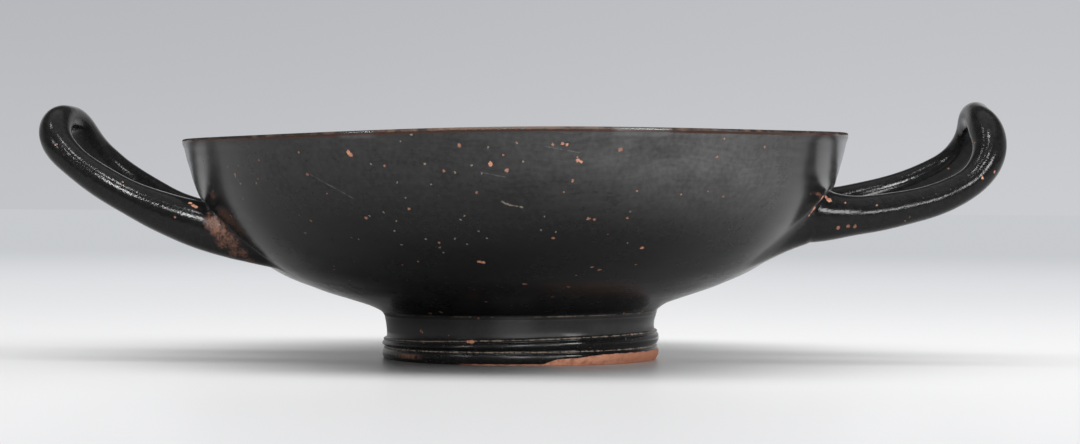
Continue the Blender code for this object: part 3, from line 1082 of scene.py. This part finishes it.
def scratches(place):
    """The long scratches, broken up by noise."""
    ragged = noise(place, 0.8, 3) * 3.4 - 1.2
    return reduce(Signal.most, [wall_lines(place, width, segments, ragged)
                                for width, segments in SCRATCHES.items()])


def scuff(place):
    """A short pale scuff in the middle of the wall."""
    return wall_lines(place, SCUFF_WIDTH, SCUFF, noise(place, 0.8, 3) * 3.6 - 1.2)


print("scratches:", sum(len(segments) for segments in SCRATCHES.values()), "segments")


# %% [markdown]
# ## The colours
#
# Reduced in the kiln, the slip is a neutral black, and dust greys it; the same grey is also laid on as
# painted sheen. Where it is thin the air reached it and it is brown, and the clay under it is orange, darker
# where it is soiled and paler in its crumbs. The colours are linear red, green and blue.

# %% The colours
BLACK = (0.0050, 0.0050, 0.0053, 1.0)
DUST_AND_SHEEN_GREY = (0.085, 0.084, 0.085, 1.0)
CLAY = (0.40, 0.185, 0.118, 1.0)
DARK_CLAY = (0.22, 0.093, 0.056, 1.0)
PALE_CLAY = (0.46, 0.25, 0.175, 1.0)
THIN_SLIP = (0.125, 0.060, 0.040, 1.0)
STAIN = (0.030, 0.016, 0.012, 1.0)
RIM_TAN, RIM_BROWN = (0.082, 0.053, 0.041, 1.0), (0.011, 0.008, 0.007, 1.0)
FLECK = (0.17, 0.14, 0.11, 1.0)
EDGE = (0.14, 0.110, 0.088, 1.0)
print("the clay is", round(CLAY[0] / BLACK[0]), "times as bright as the gloss, in red")


def clay_colour(place):
    """Orange clay, darker where it is soiled and at the right of the foot, and paler in fine crumbs."""
    soiled = coordinate(place, "X").fade(12.0, 32.0) * coordinate(place, "Z").fade(9.0, 5.0) * 0.85
    clay = blend_colour(noise(place, 1.6, 5).fade(0.3, 0.62) * (1 - soiled), DARK_CLAY, CLAY)
    return blend_colour(noise(place, 0.5, 2).fade(0.5, 0.75) * (0.4 - soiled * 0.4), clay, PALE_CLAY)


# %% [markdown]
# ## Zones of the finish
#
# Several steps of the finish need the same zones and the same clouds of noise, so each is made once and kept
# under a name. The wall beside the joints is the best kept: the handles guard it, so it is clean and reflects
# clearly. The brush strokes show most under the rim at the right, and dust lies there too, and on the neck.
# That grey is also painted sheen, stronger to the right under the rim, and down the middle of the neck a
# painted highlight.

# %% Zones and clouds
FOOT_TOP, NECK_FOOT = (13.2, 12.4), (6.6, 8.0)


def zones_of(tree):
    """Places, zones and clouds of noise that more than one step of the finish reads."""
    place = clay_place(tree)
    height, across = coordinate(place, "Z"), coordinate(place, "X")
    on_handle = stored(tree, "on_handle")
    on_body = 1 - on_handle
    foot = height.fade(*FOOT_TOP)
    beside_joints = across.fade(56.0, 76.0) + across.fade(-62.0, -76.0) * 0.5
    brushed = height.fade(30.0, 56.0) * (across.fade(-25.0, 15.0) * 0.7 + 0.3)
    return SimpleNamespace(
        place=place, height=height, across=across, along=stored(tree, "along"),
        on_handle=on_handle, on_body=on_body, foot=foot, neck=foot * height.fade(*NECK_FOOT),
        polished=beside_joints * height.fade(14.0, 22.0) * on_body,
        blotch=noise(place, 7, 5), fine_blotch=noise(place, 1.3, 4),
        rings=wheel_rings(place), stroke=strokes(place) * (brushed * on_body))


def dust_and_painted_sheen(zones):
    """Dust in clouds under the rim, less where the wall is polished, and on the neck, plus a little of a
    finer cloud everywhere. The same grey is also painted sheen: under the rim it grows towards the right, and
    down the middle of the neck it is a painted highlight."""
    # Under the rim the grey is partly dust and partly painted sheen, which grows towards the right.
    under_rim = (zones.height + zones.across.most(0.0) * 0.15).fade(36.0, 58.0)
    under_rim *= zones.across.fade(-20.0, 40.0) * 0.42 + 0.25
    clouds = zones.blotch * 0.8 + zones.fine_blotch * 0.6
    # On the neck this is dust, and down the middle of the front a painted highlight.
    neck = zones.neck * (0.08 + 0.2 * zones.blotch + abs(zones.across + 1.5).fade(8.0, 1.0) * 0.28)
    wall = under_rim * (1 - zones.polished * 0.9) * clouds
    return (wall + neck) * zones.on_body + (zones.fine_blotch - 0.4) * 0.12


# %% [markdown]
# ## Every mark as a mask
#
# The marks made above are gathered here. All the bare clay becomes one mask, the largest of its parts, so
# that two marks that touch run together as they do on the pot.

# %% Every mark as a mask
CHIP_SOFTNESS, ROOT_CHIP_SOFTNESS = 0.1, 0.12


def wear_of(zones):
    """The masks of all the wear: clay, what is nearly bare, and what lies on the gloss."""
    place, chip_place = zones.place, shaken(zones.place, 0.6, 0.9)
    bare_root, thin_root = left_root(place)
    chips = marks(chip_place, CHIPS, on_wall, CHIP_SOFTNESS)
    chips = chips.most(marks(chip_place, HANDLE_CHIPS, upright, ROOT_CHIP_SOFTNESS))
    faint = marks(chip_place, FAINT_CHIPS, on_wall, CHIP_SOFTNESS)
    faint = faint.most(marks(chip_place, FAINT_HANDLE_CHIPS, upright, ROOT_CHIP_SOFTNESS))
    clay = [bare_foot(place), chips * 0.88, faint.most(small_pits(place)) * 0.5, bare_root * zones.on_handle,
            rubbed_foot(place) * 0.3, seam(place) * 0.8]
    specks = noise(place, 0.45, 3).fade(0.64, 0.74) * zones.foot * zones.height.fade(7.6, 6.8)
    edges = [rim_wear, rim_stain, ridge_wear]
    rim, stain, ridges = (edge(place, zones.along) * zones.on_body for edge in edges)
    return SimpleNamespace(
        clay=reduce(Signal.most, clay), thin_root=thin_root * zones.on_handle, specks=specks * 0.5,
        flecks=marks(chip_place, FLECKS, on_wall, CHIP_SOFTNESS).most(scuff(place)),
        scratches=scratches(place), rim=rim, stain=stain, ridges=ridges)


# %% [markdown]
# ## Colour, shine and relief
#
# The gloss is built up as a painter would: black first, then dust and painted sheen, scratches, thin slip,
# worn edges and flecks, each laid over the last by its mask. Shine is the other half of the look. Wear is
# matt, the gloss is satin on the body and brighter on the handles, and beside the joints and on the two whole
# stretches of the rim a thin clear coat gives the clear reflection of slip that has never been rubbed. The
# reflectance is set low, since this gloss is darker than glass. Relief is only for what is too fine for the
# mesh.

# %% Colour of the gloss
def gloss_colour(zones, wear, dust_and_sheen):
    """From black towards grey by the mask of dusty film and painted sheen, and by the strokes, and over it
    each kind of wear in its colour.
    """
    layers = [(wear.scratches * 0.5, DUST_AND_SHEEN_GREY), (wear.thin_root * 0.85, THIN_SLIP), (wear.stain, STAIN),
              (wear.ridges, EDGE), (wear.rim, blend_colour(rim_tan(zones.place), RIM_BROWN, RIM_TAN)),
              ((wear.flecks * 0.85).most(wear.specks), FLECK)]
    colour = blend_colour((dust_and_sheen + zones.stroke * 0.35).most(0.0).least(1.0), BLACK, DUST_AND_SHEEN_GREY)
    for mask, laid_over in layers:
        colour = blend_colour(mask, colour, laid_over)
    return colour


# %% Shine and relief
BODY_ROUGHNESS, HANDLE_ROUGHNESS, WORN_ROUGHNESS = 0.26, 0.09, 0.85
REFLECTANCE = 0.18
COAT_BESIDE_JOINTS, COAT_ROUGHNESS = 0.36, 0.24
RING_HEIGHT, STROKE_HEIGHT, CRUMB_HEIGHT = 0.006, 0.010, 0.06
SCRATCH_DEPTH, SLIP_THICKNESS = 0.03, 0.08


def gloss_roughness(zones, dust_and_sheen):
    """The body's roughness, changed a little by each cloud, ring and stroke, and cut where it is polished;
    the handles have their own."""
    dull_moulding = zones.foot * zones.across.fade(12.0, 10.0) * 0.16
    polished_rim = zones.height.fade(58.6, 59.1) * zones.on_body
    body = (BODY_ROUGHNESS + (zones.blotch - 0.5) * 0.1 + zones.rings * 0.05 + zones.stroke * 0.12
            - zones.foot * 0.14 + zones.neck * 0.15 + dull_moulding + dust_and_sheen.most(0.0) * 0.2)
    body *= 1 - polished_rim.most(zones.polished * 0.7) * 0.6
    return body * zones.on_body + zones.on_handle * (HANDLE_ROUGHNESS + zones.blotch * 0.1)


def relief(zones, wear):
    """Heights in millimetres: grain, rings and strokes, less the scratches and the slip that is gone, plus
    the crumbs of the bare clay."""
    crumbs = noise(zones.place, 0.9, 4)
    return (grain(zones.place, zones.on_handle) + zones.rings * RING_HEIGHT + zones.stroke * STROKE_HEIGHT
            - wear.scratches * SCRATCH_DEPTH - wear.clay * SLIP_THICKNESS + wear.clay * crumbs * CRUMB_HEIGHT)


# %% The material
def gloss_over_clay():
    """The gloss where the clay mask is 0 and clay where it is 1; the more a place is worn, the more matt."""
    material = bpy.data.materials.new("black_gloss_clay")
    material.use_nodes = True
    tree = Signal(material.node_tree)
    zones = zones_of(tree)
    wear, dust_and_sheen = wear_of(zones), dust_and_painted_sheen(zones)
    matt = reduce(Signal.most, [wear.clay, wear.flecks, wear.ridges * 0.7, wear.rim, wear.thin_root * 0.8])
    whole_rim = kept_gloss(zones.place) * zones.height.fade(57.8, 58.6) * zones.on_body
    signals = {
        "Base Color": blend_colour(wear.clay, gloss_colour(zones, wear, dust_and_sheen), clay_colour(zones.place)),
        "Roughness": gloss_roughness(zones, dust_and_sheen) * (1 - matt) + matt * WORN_ROUGHNESS,
        "Normal": tree.node("Bump", {}, {"Strength": 1.0, "Distance": MM, "Height": relief(zones, wear)}),
        "Coat Weight": (zones.polished * COAT_BESIDE_JOINTS).most(whole_rim) * (1 - matt),
    }
    shader = material.node_tree.nodes["Principled BSDF"]
    shader.inputs["Specular IOR Level"].default_value = REFLECTANCE
    shader.inputs["Coat Roughness"].default_value = COAT_ROUGHNESS
    for name, signal in signals.items():
        tree.tree.links.new(signal.socket, shader.inputs[name])
    return material


kylix.data.materials.clear()
kylix.data.materials.append(gloss_over_clay())
print("finish:", len(kylix.data.materials[0].node_tree.nodes), "nodes")

# %% [markdown]
# ## The studio
#
# The cup stands on a pale sweep of paper. Close to it the paper is lit from above, and further off it gives
# way to a painted glow, brighter nearer the cup, that fades into the same pale grey as the backdrop, so that
# no horizon shows. A wide softbox overhead gives the soft shadow, and another at the far right lifts the
# paper there; neither shows as a highlight on the gloss. The highlights come from smaller softboxes round the
# camera, which are screened off the table so that they throw no shadow on it: light linking lets them light
# the cup alone.

# %% The floor
FLOOR_SIDE = 8.0
FLOOR_COLOUR, PAPER_ROUGHNESS = (0.70, 0.70, 0.705, 1.0), 0.35
# Colours of the painted glow of the sweep, near the cup and far off.
NEAR_PAINTED_GLOW, FAR_PAINTED_GLOW = (0.78, 0.79, 0.81, 1.0), (0.575, 0.59, 0.615, 1.0)
GLOW_FADE, COLOUR_FADE = (0.0, 0.7), (0.25, 1.6)


def floor_material():
    """Paper near the cup, and further off a painted glow of the sweep, brighter nearer the cup: a mix by the
    distance from the cup.
    """
    material = bpy.data.materials.new("pale_paper_and_painted_glow")
    material.use_nodes = True
    tree = Signal(material.node_tree)
    where = tree.node("TexCoord", output="Object")
    away = tree.node("VectorMath", {"operation": "LENGTH"}, {0: where}, "Value")
    # The glow is painted light: an emission, brighter near the cup and dimmer far off.
    glow = tree.node("Emission", {}, {"Color": blend_colour(away.fade(*COLOUR_FADE), NEAR_PAINTED_GLOW, FAR_PAINTED_GLOW)})
    paper = material.node_tree.nodes["Principled BSDF"]
    paper.inputs["Base Color"].default_value = FLOOR_COLOUR
    paper.inputs["Roughness"].default_value = PAPER_ROUGHNESS
    lit_paper = Signal(tree.tree, paper.outputs[0])
    both = tree.node("MixShader", {}, {"Fac": away.fade(*GLOW_FADE), 1: lit_paper, 2: glow})
    tree.tree.links.new(both.socket, material.node_tree.nodes["Material Output"].inputs["Surface"])
    return material


floor_mesh = bpy.data.meshes.new("floor")
corners = [(x * FLOOR_SIDE, y * FLOOR_SIDE, 0) for x, y in ((-1, -1), (1, -1), (1, 1), (-1, 1))]
floor_mesh.from_pydata(corners, [], [(0, 1, 2, 3)])
floor = bpy.data.objects.new("floor", floor_mesh)
bpy.context.scene.collection.objects.link(floor)
floor.data.materials.append(floor_material())
print("floor:", FLOOR_SIDE * 2, "m across")

# %% The softboxes
AIM = Vector((0, 0, 0.03))
cup_only = bpy.data.collections.new("cup_only")
cup_only.objects.link(kylix)


def softbox(name, azimuth, elevation, distance, size, power, for_cup=True):
    """An oblong area light aimed at the cup.  Azimuth 0 is over the camera, and positive is to the right.
    One for the cup alone shows in the gloss and doesn't reach the table; another is the other way round."""
    light = bpy.data.lights.new(name, "AREA")
    light.shape = "RECTANGLE"
    light.size, light.size_y = size
    light.energy = power
    made = bpy.data.objects.new(name, light)
    across, up = math.radians(azimuth), math.radians(elevation)
    direction = Vector((math.sin(across) * math.cos(up), -math.cos(across) * math.cos(up), math.sin(up)))
    made.location = direction * distance + AIM
    made.rotation_mode = "QUATERNION"
    made.rotation_quaternion = direction.to_track_quat("Z", "Y")
    made.visible_camera = False
    made.visible_glossy = for_cup
    if for_cup:
        made.light_linking.receiver_collection = cup_only
    bpy.context.scene.collection.objects.link(made)


softbox("overhead", -9, 84, 1.2, (3.4, 0.7), 34, for_cup=False)
softbox("key", 0, 18, 1.6, (0.35, 0.3), 10)
softbox("left_strip", -17, 37, 1.6, (0.22, 0.3), 13)
softbox("right_near", 27, 13, 1.6, (0.3, 0.22), 6)
softbox("right", 44, 20, 1.6, (0.35, 0.3), 9)
softbox("left", -52, 27, 1.6, (0.2, 0.2), 4)
softbox("left_tip", -6.5, 63, 1.6, (0.16, 0.16), 4)
softbox("right_tip", 13, 41, 1.6, (0.16, 0.16), 4)
softbox("right_tip_side", -69, 60, 1.6, (0.14, 0.14), 1.5)
softbox("far_right", 95, 18, 1.3, (0.8, 0.8), 12, for_cup=False)
print("softboxes:", len(bpy.data.lights))

# %% [markdown]
# ## The air round it
#
# A black gloss shows what is round it more than it shows itself, so the world matters as much as the lamps:
# pale paper low behind the cup, a soft ceiling above, and a dark room in front. The camera sees an even
# pale grey.

# %% The air round it
DARK_BACKDROP, LIGHT_BACKDROP = (0.465, 0.475, 0.50, 1.0), (0.60, 0.61, 0.635, 1.0)


def studio_world():
    """What the cup sees, by direction: dim in front, pale behind and paler low at the back, dark above that,
    and pale again overhead.  The camera sees the backdrop, lighter at the horizon and to the right."""
    world = bpy.data.worlds.new("studio")
    world.use_nodes = True
    tree = Signal(world.node_tree)
    direction = tree.node("TexCoord", output="Generated")
    across, back, up = (coordinate(direction, axis) for axis in "XYZ")
    behind = 0.08 + back.fade(-0.3, 0.5) * 0.42 + back.fade(0.6, 0.95) * up.fade(0.06, 0.2) * 0.25
    room = (1 - up.fade(0.30, 0.55) * 0.92) * behind + up.fade(0.75, 0.9) * 0.5
    lighter = up.fade(0.09, -0.02) * 0.6 + across.fade(-0.2, 0.2) * 0.4
    backdrop = blend_colour(lighter, DARK_BACKDROP, LIGHT_BACKDROP)
    grey = tree.node("CombineColor", {}, {"Red": room, "Green": room, "Blue": room})
    seen = tree.node("LightPath", output="Is Camera Ray")
    both = blend_colour(seen, grey, backdrop)
    tree.tree.links.new(both.socket, world.node_tree.nodes["Background"].inputs["Color"])
    return world


bpy.context.scene.world = studio_world()
bpy.context.scene.view_settings.view_transform = "Standard"
print("world:", len(bpy.context.scene.world.node_tree.nodes), "nodes")
